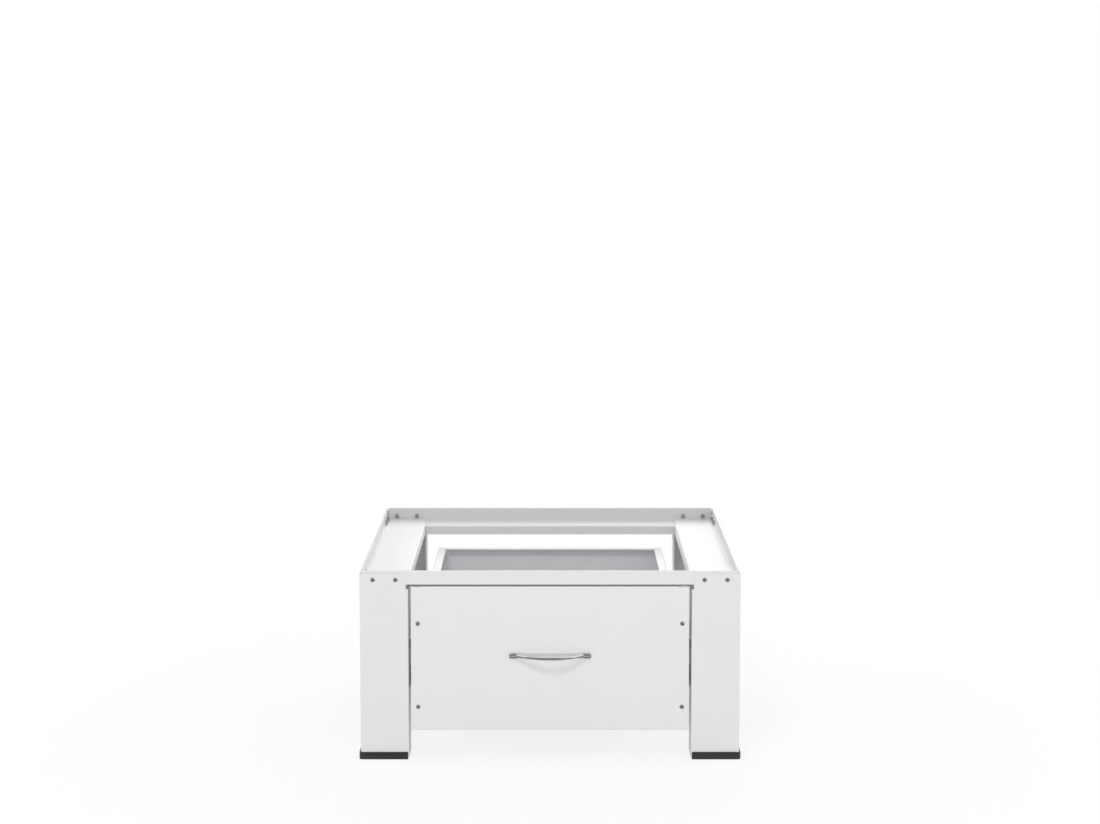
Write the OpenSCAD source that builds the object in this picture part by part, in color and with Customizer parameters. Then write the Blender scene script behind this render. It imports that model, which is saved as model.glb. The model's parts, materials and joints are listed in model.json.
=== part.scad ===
// Pedestal with a storage drawer, for a front-loading machine of about 60 cm.
// It is folded from powder-coated sheet steel: four corner legs carry a raised rim of four beams,
// and a drawer runs between the legs on telescopic ball slides.
// The origin is on the floor, in the middle of the outline. The front looks towards -Y.

/* [Frame] */
// Width over the outer faces of the legs
frame_w = 625; // [600:1:700]
// Depth over the front and rear faces of the legs
frame_d = 535; // [520:1:640]
// Height of the rim above the floor
frame_h = 316.4; // [310:0.2:400]
// Thickness of the sheet of the legs and beams
frame_t = 2; // [1.5:0.1:2.5]
// Inner radius of the bends of the legs and beams
frame_r = 1; // [0.8:0.1:1.4]

/* [Legs] */
// Width of the face of a leg
leg_w = 80; // [76:0.5:88]
// Depth of the outer side of a leg
leg_side = 85; // [78:1:110]
// Depth of the return that a leg turns back beside the drawer
leg_return = 45; // [40:1:60]
// Width of the return along the far edge of a leg's side
leg_hem = 15; // [10:1:20]
// How far the top of a leg lies below the rim
leg_drop = 4.7; // [2:0.1:6]
// Width of the step that relieves the bends at the top of a leg
relief_w = 3.8; // [3.6:0.1:6]
// Height of that step below the beams
relief_h = 6.7; // [3:0.1:12]

/* [Beams] */
// Height of the rim of the front and rear beams
beam_h = 24.1; // [22:0.1:26]
// Depth of the shelf of the front and rear beams
shelf_d = 60; // [40:1:70]
// Width of the shelf of the side beams, which carries the machine
side_shelf = 75; // [50:1:76]
// Height of the stiffening lip under each shelf
lip_h = 14; // [8:1:16]
// Gap at each end of the front and rear beams
beam_gap = 1.5; // [0.5:0.1:3]

/* [Feet] */
// Height of the outer wall of a foot cap
foot_h = 12.1; // [8:0.1:20]
// Thickness of a foot cap under the leg
foot_base = 3; // [2:0.5:6]
// How far a foot cap stands out from the leg
foot_wall = 2.5; // [2.3:0.1:4]
// How far a foot cap stops short of the leg's edges
foot_short = 1.8; // [1:0.1:5]
// Clearance of the leg in the foot cap's groove
foot_fit = 0.15; // [0.05:0.05:0.3]

/* [Bolts and nuts] */
// Diameter of the bolts
bolt_d = 4; // [3:0.5:4]
// Diameter of the bolt heads
head_d = 7.6; // [7:0.1:8]
// Height of the bolt heads
head_h = 2.2; // [1.6:0.1:2.2]
// Width of the nuts across the flats
nut_w = 7; // [6.5:0.1:7.5]
// Height of the nuts
nut_h = 3.2; // [2:0.1:3.2]
// Clearance of a bolt in a sheet, all round
hole_fit = 0.2; // [0.1:0.05:0.3]
// Clearance of a bolt in its nut, all round
thread_fit = 0.05; // [0.02:0.01:0.08]
// Length of a bolt beyond its nut
bolt_over = 1.2; // [0.5:0.1:2]
// Room between the shelf of a side beam and the bolts beside it
shelf_room = 1.5; // [0.5:0.1:2]
// Distance from a leg's outer edge to its first bolt
bolt_in = 21.9; // [18:0.1:26]
// Distance between the two bolts on each side of a leg
bolt_pitch = 37.3; // [25:0.1:40]
// Depth of the bolts below the rim
bolt_drop = 14.8; // [12:0.1:15]

/* [Rails] */
// Thickness of the sheet of the rails
rail_t = 1.5; // [1:0.1:2]
// Depth of the hat section of a rail
rail_depth = 13.5; // [10:0.1:16]
// Height of the web that holds a slide
rail_web = 48; // [46:1:56]
// Height of the lip above and below the web
rail_lip = 16; // [12:1:20]
// Distance from the legs' faces to the ends of a rail
rail_in = 19; // [17:0.5:22]

/* [Slides] */
// Length of the members of a slide
slide_len = 400; // [350:10:410]
// Height of the outer member
slide_h = 45.5; // [44:0.5:46]
// Depth of a slide from the rail to the drawer
slide_depth = 12.7; // [12.6:0.1:13.5]
// Thickness of the sheet of the members
slide_t = 1.1; // [1:0.05:1.15]
// Height of the middle of the slides above the floor
slide_z = 158.5; // [130:0.5:190]
// Distance from the legs' front faces to the slides
slide_in = 20; // [19:0.5:30]
// Travel of the drawer
travel = 380; // [200:10:380]
// Diameter of the balls
ball_d = 3.5; // [3.3:0.1:3.5]
// Clearance of the balls in their races
race_fit = 0.05; // [0.02:0.01:0.08]
// Number of balls in a row
ball_count = 8; // [4:1:10]
// Thickness of the ball cages
cage_t = 0.5; // [0.4:0.1:0.5]
// Clearance between a cage and the members
cage_fit = 0.3; // [0.25:0.05:0.4]
// Distance from the ends of a member to its end screws
slide_screw_in = 36; // [25:1:60]

/* [Drawer] */
// Gap between the drawer front and the legs
front_gap = 3.7; // [2:0.1:5]
// Gap between the drawer front and the front beam
front_top_gap = 2.3; // [1.5:0.1:4]
// Height of the lower edge of the drawer front above the floor
front_z = 49.3; // [30:0.1:58]
// Thickness of the sheet of the drawer front
panel_t = 1.2; // [0.8:0.1:1.5]
// Depth of the returns round the drawer front
panel_return = 15; // [8:1:16]
// Part of the top and bottom edges, at each corner, that has no return
panel_corner = 14.6; // [14.4:0.1:20]
// Thickness of the sheet of the drawer's sides, back and bottom
wall_t = 1; // [0.8:0.1:1.2]
// Inner radius of the bends of the drawer
wall_r = 0.8; // [0.6:0.1:1]
// How far the drawer box goes on behind the slides
box_over = 8.2; // [4:0.1:30]
// Height of the underside of the drawer box above the floor
box_z = 62; // [60:0.5:75]
// How far the drawer box stays below the top of its front
box_drop = 28; // [22:1:60]
// Width of the flanges of the drawer box
box_flange = 14; // [12:1:18]
// Distance from the side edges of the drawer front to its screws
front_screw_in = 11.6; // [10.8:0.1:12.5]
// Height of the lower front screws above the lower edge of the drawer front
front_screw_z = 39.3; // [30:0.1:60]
// Depth of the upper front screws below the upper edge of the drawer front
front_screw_drop = 61.5; // [50:0.1:90]
// Diameter of the rivets
rivet_d = 3; // [2.4:0.1:3.2]

/* [Handle] */
// Distance between the handle's screws
handle_pitch = 120.4; // [96:0.1:160]
// Height of the handle above the lower edge of the drawer front
handle_up = 125.6; // [60:0.1:170]
// Length of the pads at the ends of the handle
pad_len = 15.6; // [13:0.1:20]
// Height of the pads
pad_h = 8.7; // [7.8:0.1:12]
// Thickness of the pads
pad_t = 4.5; // [4:0.1:6]
// Distance from the drawer front to the middle of the bow
bow_out = 20; // [16:0.5:30]
// Diameter of the bow in the middle
bow_d = 6; // [5:0.1:8]
// Diameter of the bow where it meets the pads
bow_end_d = 4.4; // [3.8:0.1:5]

/* [Hidden] */
$fn = 64;

powder = [0.90, 0.90, 0.905];
zinc = [0.66, 0.67, 0.69];
steel = [0.55, 0.56, 0.58];
black = [0.16, 0.16, 0.16];
chrome = [0.82, 0.83, 0.85];

// The middle of the outline, from the bow of the handle to the rear feet, is at y = 0.
front_y = (bow_out + bow_d / 2 - foot_wall - frame_d) / 2;
back_y = front_y + frame_d;
mid_y = (front_y + back_y) / 2;

leg_x = frame_w / 2;
bay_x = leg_x - leg_w;
leg_top = frame_h - leg_drop;
beam_z = frame_h - beam_h;
step_z = beam_z - relief_h;
beam_x = leg_x - 2 * frame_t - beam_gap;
side_z = beam_z + frame_t;
bend_out = frame_r + frame_t;
fold_gap = 0.3;

bolt_z = frame_h - bolt_drop;
bolt_places = [bolt_in, bolt_in + bolt_pitch];
hole_r = bolt_d / 2 + hole_fit;
nut_r = nut_w / 2 / cos(30);
frame_bolt_end = 2 * frame_t + nut_h + bolt_over;
socket_r = head_d * 0.19;

rail_x = bay_x - rail_depth;
rail_bolt_y = front_y + (rail_in + leg_return) / 2;
rail_bolt_z = rail_web / 2 + rail_lip / 2;

// A slide is drawn across its depth, u, from the rail, and its height, v, from its middle.
race_r = ball_d / 2 + race_fit;
crest_r = 0.4;
crest_tilt = 30;
crest_climb = 45;
outer_hook = 70;
inner_hook = 60;
middle_hook = 60;
crest_reach = crest_r + slide_t + race_r;
race_reach = 2 * race_r + slide_t;
middle_u = slide_t + 2 * cage_fit + cage_t;
crest = [
    middle_u + slide_t + crest_r,
    slide_h / 2 - slide_t - race_r - crest_reach * cos(crest_tilt)
];
outer_ball = crest + crest_reach * [sin(crest_tilt), cos(crest_tilt)];
inner_ball = outer_ball + race_reach * [sin(crest_climb), -cos(crest_climb)];
cage_edge = 0.5;
cage_end = 10;
stop_room = 10;
// A cage travels half as far as the member beyond it, so this length stays between both members.
cage_len = slide_len - travel / 2 - 2 * stop_room;
cage_drop = 0.13;
slide_y = front_y + slide_in;
cage_y = slide_y + (slide_len - cage_len) / 2;
ball_pitch = (cage_len - 2 * cage_end) / (ball_count - 1);
slide_screw_y = [slide_screw_in, slide_len / 2, slide_len - slide_screw_in];
sink_r = 3.75;

front_x = bay_x - front_gap;
front_top = beam_z - front_top_gap;
screw_x = front_x - front_screw_in;
screw_z = [front_z + front_screw_z, front_top - front_screw_drop];
box_x = rail_x - slide_depth;
box_top = front_top - box_drop;
box_y = front_y + panel_t;
box_back = slide_y + slide_len + box_over;
flange_y = box_y + wall_t;
flange_w = screw_x + head_d / 2 + 1 - box_x;
floor_z = box_z + 2 * wall_t;
floor_fold = 8;
corner_cut = 5;
back_flange = 15;
rivet_head_d = 2.1 * rivet_d;
rivet_head_h = rivet_d / 3;
rivet_in = box_flange / 2 + 1;
rivet_side_y = [for (i = [0 : 3]) box_y + 40 + i * (box_back - box_y - 80) / 3];
rivet_back_x = [-0.6, 0, 0.6] * (box_x - box_flange);
rivet_back_z = [box_z + 25, box_top - 25];

handle_z = front_z + handle_up;
handle_screw_depth = 3.2;
bow_x = (handle_pitch - pad_len) / 2 + 1.6;
bow_foot = pad_t / 2;
bow_rise = bow_out - bow_foot;
bow_radius = (bow_x * bow_x + bow_rise * bow_rise) / (2 * bow_rise);
bow_angle = asin(bow_x / bow_radius);
bow_steps = 32;
bow_sides = 20;

// ---- Sheet metal -------------------------------------------------------------------------------

// Distance from the corner of a fold, on the drawn side of the sheet, to where the bend starts.
function setback(turn, r, t) = tan(abs(turn) / 2) * (turn > 0 ? r + t : r);

// Flat lengths of a folded strip whose runs are measured from corner to corner.
function flats(runs, turns, r, t) = [
    for (i = [0 : len(runs) - 1])
        runs[i] - (i > 0 ? setback(turns[i - 1], r, t) : 0)
        - (i < len(turns) ? setback(turns[i], r, t) : 0)
];

// A slice of the plane round the origin, from one angle through a turn.
module wedge(from, turn, size) {
    reach = 2 * size;
    polygon([
        [0, 0],
        reach * [cos(from), sin(from)],
        reach * [cos(from + turn / 2), sin(from + turn / 2)],
        reach * [cos(from + turn), sin(from + turn)]
    ]);
}

// The section of a sheet of thickness t that runs along +X with the sheet on its left.
// It alternates flat lengths with bends, each [turn to the left, inner radius].
module strip(t, lengths, bends, i = 0) {
    if (lengths[i] > 0) square([lengths[i], t]);
    if (i < len(bends)) {
        turn = bends[i][0];
        r = bends[i][1];
        centre = turn > 0 ? t + r : -r;
        translate([lengths[i], centre]) {
            intersection() {
                difference() {
                    circle(r + t);
                    circle(r);
                }
                wedge(turn > 0 ? -90 : 90, turn, r + t);
            }
            rotate(turn) translate([0, -centre]) strip(t, lengths, bends, i + 1);
        }
    }
}

// A folded section with one bend radius, measured from corner to corner.
module folded(t, r, runs, turns) {
    strip(t, flats(runs, turns, r, t), [for (turn = turns) [turn, r]]);
}

// The same section above and below the middle of a slide.
module both_halves() {
    children();
    mirror([0, 1]) children();
}

module along_x(from, to) {
    translate([from, 0, 0]) rotate([90, 0, 90]) linear_extrude(height = to - from) children();
}

module along_y(from, to) {
    translate([0, to, 0]) rotate([90, 0, 0]) linear_extrude(height = to - from) children();
}

module along_z(from, to) {
    translate([0, 0, from]) linear_extrude(height = to - from) children();
}

module box(low, high) {
    translate(low) cube(high - low);
}

module bore_x(y, z, r, from, to) {
    translate([from, y, z]) rotate([0, 90, 0]) cylinder(r = r, h = to - from);
}

module bore_y(x, z, r, from, to) {
    translate([x, to, z]) rotate([90, 0, 0]) cylinder(r = r, h = to - from);
}

module bore_z(x, y, r, from, to) {
    translate([x, y, from]) cylinder(r = r, h = to - from);
}

// ---- Symmetry ----------------------------------------------------------------------------------

// The right side is drawn as the left side's mirror image.
module on_right(right) {
    mirror([right ? 1 : 0, 0, 0]) children();
}

// A corner piece is drawn at the front left, and mirrored to the other corners.
module at_corner(right, rear) {
    translate([0, mid_y, 0]) mirror([right ? 1 : 0, 0, 0]) mirror([0, rear ? 1 : 0, 0])
        translate([0, -mid_y, 0]) children();
}

module at_each_corner() {
    for (right = [false, true], rear = [false, true]) at_corner(right, rear) children();
}

module on_each_side() {
    for (right = [false, true]) on_right(right) children();
}

// ---- Fasteners, drawn along +Z with the face under the head at z = 0 ----------------------------

module dome(r, h, rim) {
    curve = (r * r + (h - rim) * (h - rim)) / (2 * (h - rim));
    intersection() {
        cylinder(r = r, h = h);
        translate([0, 0, h - curve]) sphere(r = curve);
    }
}

module button_bolt(grip) {
    difference() {
        union() {
            dome(head_d / 2, head_h, 0.4);
            translate([0, 0, -grip]) cylinder(d = bolt_d, h = grip + head_h / 4);
        }
        translate([0, 0, head_h / 2]) cylinder(r = socket_r, h = head_h, $fn = 6);
    }
}

module nut() {
    difference() {
        cylinder(r = nut_r, h = nut_h, $fn = 6);
        translate([0, 0, -1]) cylinder(r = bolt_d / 2 + thread_fit, h = nut_h + 2);
    }
}

// A bolt and its nut grip a stack of sheets of this thickness.
module bolt_through(stack) {
    button_bolt(stack + nut_h + bolt_over);
}

module nut_behind(stack) {
    translate([0, 0, -stack - nut_h]) nut();
}

module rivet(stack) {
    dome(rivet_head_d / 2, rivet_head_h, 0.2);
    translate([0, 0, -stack]) cylinder(d = rivet_d, h = stack);
    translate([0, 0, -stack - rivet_head_h]) cylinder(d = 1.5 * rivet_d, h = rivet_head_h);
}

module facing_front(x, y, z) {
    translate([x, y, z]) rotate([90, 0, 0]) children();
}

module facing_back(x, y, z) {
    translate([x, y, z]) rotate([-90, 0, 0]) children();
}

module facing_left(x, y, z) {
    translate([x, y, z]) rotate([0, -90, 0]) children();
}

module facing_right(x, y, z) {
    translate([x, y, z]) rotate([0, 90, 0]) children();
}

// ---- Frame -------------------------------------------------------------------------------------

// Seen from above: side hem, side, face and the return beside the drawer.
module leg() {
    color(powder) difference() {
        along_z(foot_base, leg_top)
            translate([leg_hem - leg_x, front_y + leg_side]) rotate(180)
                folded(frame_t, frame_r, [leg_hem, leg_side, leg_w, leg_return], [90, 90, 90]);
        box([-bay_x - relief_w, front_y - 1, step_z], [1 - bay_x, front_y + leg_return + 1, frame_h]);
        box([-leg_x - 1, front_y + leg_side - relief_w, step_z],
            [1 + leg_hem - leg_x, front_y + leg_side + 1, frame_h]);
        for (place = bolt_places) {
            bore_y(place - leg_x, bolt_z, hole_r, front_y - 1, front_y + frame_t + 1);
            bore_x(front_y + place, bolt_z, hole_r, -leg_x - 1, frame_t + 1 - leg_x);
        }
        for (side = [-1, 1])
            bore_x(rail_bolt_y, slide_z + side * rail_bolt_z, hole_r, -bay_x - frame_t - 1, 1 - bay_x);
    }
}

// The plan of a corner, so far outside the leg's faces and so far past the ends of a foot cap.
module corner_block(out, corner, past = 0) {
    low = [-leg_x - out, front_y - out];
    high = [past - bay_x - foot_short, past + front_y + leg_side - foot_short];
    translate(low + [corner, 0]) square(high - low - [corner, 0]);
    translate(low + [0, corner]) square(high - low - [0, corner]);
    translate(low + [corner, corner]) circle(corner);
}

module corner_band(out, inside) {
    difference() {
        corner_block(out, bend_out + out);
        corner_block(-inside, frame_r / 2, 1);
    }
}

// An angled cap whose groove takes the lower edge of a leg.
module foot() {
    clear = bend_out + foot_fit;
    color(black) difference() {
        along_z(0, foot_h) corner_band(foot_wall, frame_t + foot_fit + foot_wall);
        along_z(foot_base, foot_h + 1) corner_band(foot_fit, frame_t + foot_fit);
        box([-bay_x - clear, front_y - foot_fit, foot_base],
            [-bay_x, front_y + frame_t + 2 * foot_wall, foot_h + 1]);
        box([-leg_x - foot_fit, front_y + leg_side - clear, foot_base],
            [frame_t + 2 * foot_wall - leg_x, front_y + leg_side, foot_h + 1]);
    }
}

// Rim, shelf and lip of the front beam, seen from the side. It stands behind the legs' faces.
module cross_beam() {
    color(powder) difference() {
        along_x(-beam_x, beam_x)
            translate([front_y + frame_t, frame_h]) rotate(-90)
                folded(frame_t, frame_r, [beam_h, shelf_d, lip_h], [90, -90]);
        for (side = [-1, 1], place = bolt_places)
            bore_y(side * (leg_x - place), bolt_z, hole_r, front_y, front_y + 2 * frame_t + 1);
    }
}

// The shelf of a side beam lies on the shelves of the front and rear beams, and its lip stops
// short of theirs. At each end the shelf is notched clear of the bolts.
module side_beam() {
    shelf_end = frame_bolt_end + shelf_room;
    notch_end = bolt_places[1] + nut_r + shelf_room;
    lip_end = 2 * frame_t + shelf_d + beam_gap;
    shelf_x = side_shelf + frame_t - leg_x;
    color(powder) difference() {
        along_y(front_y + bend_out, back_y - bend_out)
            translate([frame_t - leg_x, frame_h]) rotate(-90)
                folded(frame_t, frame_r, [beam_h - frame_t, side_shelf, lip_h], [90, -90]);
        for (rear = [false, true]) at_corner(false, rear) {
            box([2 * frame_t - leg_x, front_y, side_z - lip_h - 1],
                [shelf_x + frame_t + 1, front_y + shelf_end, side_z + bend_out]);
            box([2 * frame_t - leg_x, front_y, beam_z],
                [shelf_end - leg_x, front_y + notch_end, side_z + bend_out]);
            box([shelf_x - frame_r, front_y, side_z - lip_h - 1],
                [shelf_x + frame_t + 1, front_y + lip_end, side_z + bend_out]);
            for (place = bolt_places)
                bore_x(front_y + place, bolt_z, hole_r, -leg_x, 2 * frame_t + 1 - leg_x);
        }
    }
}

module frame_bolt_places() {
    at_each_corner() for (place = bolt_places) {
        facing_front(place - leg_x, front_y, bolt_z) children();
        facing_left(-leg_x, front_y + place, bolt_z) children();
    }
}

module frame_bolts() {
    color(zinc) frame_bolt_places() bolt_through(2 * frame_t);
}

module frame_nuts() {
    color(zinc) frame_bolt_places() nut_behind(2 * frame_t);
}

// ---- Rails that carry the slides between the front and the rear legs ----------------------------

module rail() {
    web_run = rail_depth - rail_t;
    color(zinc) difference() {
        along_y(front_y + rail_in, back_y - rail_in)
            translate([rail_t - bay_x, slide_z - rail_web / 2 - rail_lip]) rotate(90)
                folded(rail_t, frame_r, [rail_lip, web_run, rail_web, web_run, rail_lip], [-90, 90, 90, -90]);
        for (rear = [false, true], side = [-1, 1]) at_corner(false, rear)
            bore_x(rail_bolt_y, slide_z + side * rail_bolt_z, hole_r, -bay_x - 1, rail_t + 1 - bay_x);
        for (y = slide_screw_y) facing_right(-rail_x, slide_y + y, slide_z) slide_screw_hole();
    }
}

module rail_bolt_places() {
    at_each_corner() for (side = [-1, 1])
        facing_right(rail_t - bay_x, rail_bolt_y, slide_z + side * rail_bolt_z) children();
}

module rail_bolts() {
    color(zinc) rail_bolt_places() bolt_through(rail_t + frame_t);
}

module rail_nuts() {
    color(zinc) rail_bolt_places() nut_behind(rail_t + frame_t);
}

// ---- Telescopic ball slides --------------------------------------------------------------------

module slide_section(from, length) {
    along_y(from, from + length) translate([-rail_x, slide_z]) children();
}

// The web lies on the rail, and each flange ends in a hook round the outer balls.
module slide_outer() {
    web = slide_h / 2 - slide_t - crest_r;
    flange = outer_ball[0] - slide_t - crest_r;
    color(steel) difference() {
        slide_section(slide_y, slide_len) both_halves()
            translate([slide_t, 0]) rotate(90)
                strip(slide_t, [web, flange, 0], [[-90, crest_r], [-outer_hook, race_r]]);
        for (y = slide_screw_y) facing_right(-rail_x, slide_y + y, slide_z) slide_screw_hole();
    }
}

function arc(centre, r, from, to) =
    [for (i = [0 : 10]) let (angle = from + i * (to - from) / 10) centre + r * [cos(angle), sin(angle)]];

// Each flange dips under the outer balls and rises over the inner ones.
module slide_middle() {
    fold = 90 - crest_tilt;
    dip = [270 - crest_tilt, 270 + crest_climb];
    rise = [90 + crest_climb, 90 - middle_hook];
    upper = [
        each arc(crest, crest_r, 180, fold),
        each arc(outer_ball, race_r + slide_t, dip[0], dip[1]),
        each arc(inner_ball, race_r, rise[0], rise[1]),
        each arc(inner_ball, race_r + slide_t, rise[1], rise[0]),
        each arc(outer_ball, race_r, dip[1], dip[0]),
        each arc(crest, crest_r + slide_t, fold, 180)
    ];
    lower = [for (i = [len(upper) - 1 : -1 : 0]) [upper[i][0], -upper[i][1]]];
    color(steel) slide_section(slide_y, slide_len) polygon([each upper, each lower]);
}

// The web lies on the side of the drawer, and each flange ends in a trough under the inner balls.
module slide_inner() {
    web = inner_ball[1] - race_r - slide_t - crest_r;
    flange = slide_depth - slide_t - crest_r - inner_ball[0];
    color(steel) difference() {
        slide_section(slide_y, slide_len) both_halves()
            translate([slide_depth, 0]) rotate(90)
                strip(slide_t, [web, flange, 0], [[90, crest_r], [-inner_hook, race_r]]);
        for (y = slide_screw_y)
            bore_x(slide_y + y, slide_z, hole_r, -box_x - slide_t - 1, 1 - box_x);
    }
}

module ball_rows(ball) {
    for (i = [0 : ball_count - 1], side = [-1, 1])
        translate([ball[0] - rail_x, cage_y + cage_end + i * ball_pitch, slide_z + side * ball[1]])
            children();
}

// A cage is a thin channel with a hole for every ball.
module cage(web_u, flange_v, ball) {
    web = flange_v - cage_t;
    flange = ball[0] + ball_d / 2 + cage_edge - web_u - 2 * cage_t;
    color(zinc) difference() {
        slide_section(cage_y, cage_len) both_halves()
            translate([web_u + cage_t, 0]) rotate(90)
                strip(cage_t, [web, flange], [[-90, cage_t]]);
        ball_rows(ball) cylinder(r = ball_d / 2 + 2 * race_fit, h = 4 * cage_t, center = true);
    }
}

module cage_outer() {
    cage(slide_t + cage_fit, outer_ball[1] - cage_t / 2, outer_ball);
}

module cage_inner() {
    cage(middle_u + slide_t + cage_fit, inner_ball[1] - cage_t / 2 - cage_drop, inner_ball);
}

module balls(ball) {
    color(chrome) ball_rows(ball) sphere(d = ball_d);
}

// Countersunk screws, flush with the web of the outer member, hold it to the rail.
module slide_screw_hole() {
    sink = sink_r - bolt_d / 2;
    translate([0, 0, slide_t - sink]) cylinder(r1 = hole_r, r2 = hole_r + sink + 1, h = sink + 1);
    translate([0, 0, -rail_t - 1]) cylinder(r = hole_r, h = rail_t + slide_t + 1);
}

module slide_screw_places() {
    on_each_side() for (y = slide_screw_y) facing_right(-rail_x, slide_y + y, slide_z) children();
}

module slide_screws() {
    sink = sink_r - bolt_d / 2;
    grip = rail_t + nut_h + bolt_over;
    color(zinc) slide_screw_places() {
        difference() {
            union() {
                translate([0, 0, slide_t - sink])
                    cylinder(r1 = bolt_d / 2, r2 = sink_r, h = sink);
                translate([0, 0, -grip]) cylinder(d = bolt_d, h = grip + slide_t - sink);
            }
            translate([0, 0, slide_t - sink / 2]) cylinder(r = socket_r, h = sink, $fn = 6);
        }
    }
}

module slide_nuts() {
    color(zinc) slide_screw_places() nut_behind(rail_t);
}

// ---- Drawer ------------------------------------------------------------------------------------

// A pan: the sides turn back over the whole height, the top and bottom between the corners.
module drawer_front() {
    top_x = front_x - panel_corner;
    panel_r = wall_r + panel_t;
    height = front_top - front_z;
    color(powder) difference() {
        union() {
            difference() {
                along_z(front_z, front_top)
                    translate([-front_x, front_y + panel_return]) rotate(-90)
                        folded(panel_t, wall_r, [panel_return, 2 * front_x, panel_return], [90, 90]);
                for (z = [front_z - 1, front_top - panel_r])
                    box([-top_x - 1, front_y - 1, z], [top_x + 1, front_y + panel_r, z + panel_r + 1]);
            }
            along_x(-top_x, top_x)
                translate([front_y + panel_return, front_top]) rotate(180)
                    folded(panel_t, wall_r, [panel_return, height, panel_return], [90, 90]);
        }
        for (side = [-1, 1]) {
            for (z = screw_z) bore_y(side * screw_x, z, hole_r, front_y - 1, box_y + 1);
            bore_y(side * handle_pitch / 2, handle_z, hole_r, front_y - 1, box_y + 1);
        }
    }
}

module rivet_hole_z(x, y) {
    bore_z(x, y, rivet_d / 2 + thread_fit, box_z - 1, floor_z + 1);
}

// The side folds inwards at the top and bottom, and outwards at the front to meet the drawer front.
module drawer_side() {
    wall_run = 20;
    color(powder) difference() {
        union() {
            along_y(flange_y + wall_r, box_back)
                translate([box_flange - box_x, box_top]) rotate(180)
                    folded(wall_t, wall_r, [box_flange, box_top - box_z, box_flange], [90, 90]);
            along_z(box_z + corner_cut, box_top - corner_cut)
                translate([-box_x, flange_y + wall_run]) rotate(-90)
                    folded(wall_t, wall_r, [wall_run, flange_w], [-90]);
        }
        for (z = screw_z) bore_y(-screw_x, z, hole_r, box_y - 1, flange_y + 1);
        for (y = slide_screw_y)
            bore_x(slide_y + y, slide_z, hole_r, -box_x - 1, wall_t + 1 - box_x);
        for (y = rivet_side_y) rivet_hole_z(rivet_in - box_x, y);
        for (z = rivet_back_z)
            bore_x(box_back - back_flange / 2, z, rivet_d / 2 + thread_fit, -box_x - 1, wall_t + 1 - box_x);
    }
}

// The back stands between the sides, with a flange forwards on every edge.
module drawer_back() {
    inner_x = box_x - wall_t;
    middle_x = inner_x - box_flange - 1;
    color(powder) difference() {
        union() {
            along_z(floor_z + fold_gap, box_top - wall_t - wall_r - fold_gap)
                translate([inner_x, box_back - back_flange]) rotate(90)
                    folded(wall_t, wall_r, [back_flange, 2 * inner_x, back_flange], [90, 90]);
            along_x(-middle_x, middle_x)
                translate([box_back - box_flange, box_z])
                    folded(wall_t, wall_r, [box_flange, box_top - box_z, box_flange], [90, 90]);
        }
        for (z = rivet_back_z)
            bore_x(box_back - back_flange / 2, z, rivet_d / 2 + thread_fit, -box_x, box_x);
        for (x = rivet_back_x) rivet_hole_z(x, box_back - rivet_in);
    }
}

// The bottom lies on the flanges of the sides and the back, and folds down behind the front.
module drawer_bottom() {
    edge_x = box_x - wall_t - wall_r - fold_gap;
    fold_x = edge_x - box_flange - 2;
    start_y = box_y + fold_gap;
    end_y = box_back - wall_t - wall_r - fold_gap;
    flat_y = start_y + wall_t + wall_r;
    color(powder) difference() {
        union() {
            box([-edge_x, flat_y, box_z + wall_t], [edge_x, end_y, floor_z]);
            along_x(-fold_x, fold_x)
                translate([flat_y + 1, floor_z]) rotate(180)
                    folded(wall_t, wall_r, [flat_y + 1 - start_y, floor_fold], [90]);
        }
        for (side = [-1, 1], y = rivet_side_y) rivet_hole_z(side * (box_x - rivet_in), y);
        for (x = rivet_back_x) rivet_hole_z(x, box_back - rivet_in);
    }
}

module front_screw_places() {
    on_each_side() for (z = screw_z) facing_front(-screw_x, front_y, z) children();
}

module front_screws() {
    color(zinc) front_screw_places() bolt_through(panel_t + wall_t);
}

module front_nuts() {
    color(zinc) front_screw_places() nut_behind(panel_t + wall_t);
}

// Bolts with their heads inside the drawer hold the inner members of the slides.
module runner_screw_places() {
    on_each_side() for (y = slide_screw_y)
        facing_right(wall_t - box_x, slide_y + y, slide_z) children();
}

module runner_screws() {
    color(zinc) runner_screw_places() bolt_through(wall_t + slide_t);
}

module runner_nuts() {
    color(zinc) runner_screw_places() nut_behind(wall_t + slide_t);
}

module drawer_rivets() {
    color(zinc) {
        on_each_side() {
            for (y = rivet_side_y)
                translate([rivet_in - box_x, y, floor_z]) rivet(2 * wall_t);
            for (z = rivet_back_z)
                facing_left(-box_x, box_back - back_flange / 2, z) rivet(2 * wall_t);
        }
        for (x = rivet_back_x) translate([x, box_back - rivet_in, floor_z]) rivet(2 * wall_t);
    }
}

// ---- Handle ------------------------------------------------------------------------------------

function bow_point(step) = bow_angle * (2 * step / bow_steps - 1);

function bow_thickness(angle) =
    bow_end_d + (bow_d - bow_end_d) * (1 - pow(angle / bow_angle, 2));

// One ring of the bow, square to its arc.
function bow_ring(angle) = [
    for (i = [0 : bow_sides - 1])
        let (turn = 360 * i / bow_sides, reach = bow_radius + bow_thickness(angle) / 2 * cos(turn))
            [
                reach * sin(angle),
                front_y - bow_out + bow_radius - reach * cos(angle),
                handle_z + bow_thickness(angle) / 2 * sin(turn)
            ]
];

module bow() {
    points = [for (step = [0 : bow_steps]) each bow_ring(bow_point(step))];
    last = bow_steps * bow_sides;
    faces = [
        [for (i = [bow_sides - 1 : -1 : 0]) i],
        for (step = [0 : bow_steps - 1], i = [0 : bow_sides - 1])
            let (j = (i + 1) % bow_sides, low = step * bow_sides, high = low + bow_sides)
                [low + i, low + j, high + j, high + i],
        [for (i = [0 : bow_sides - 1]) last + i]
    ];
    polyhedron(points, faces);
}

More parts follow.
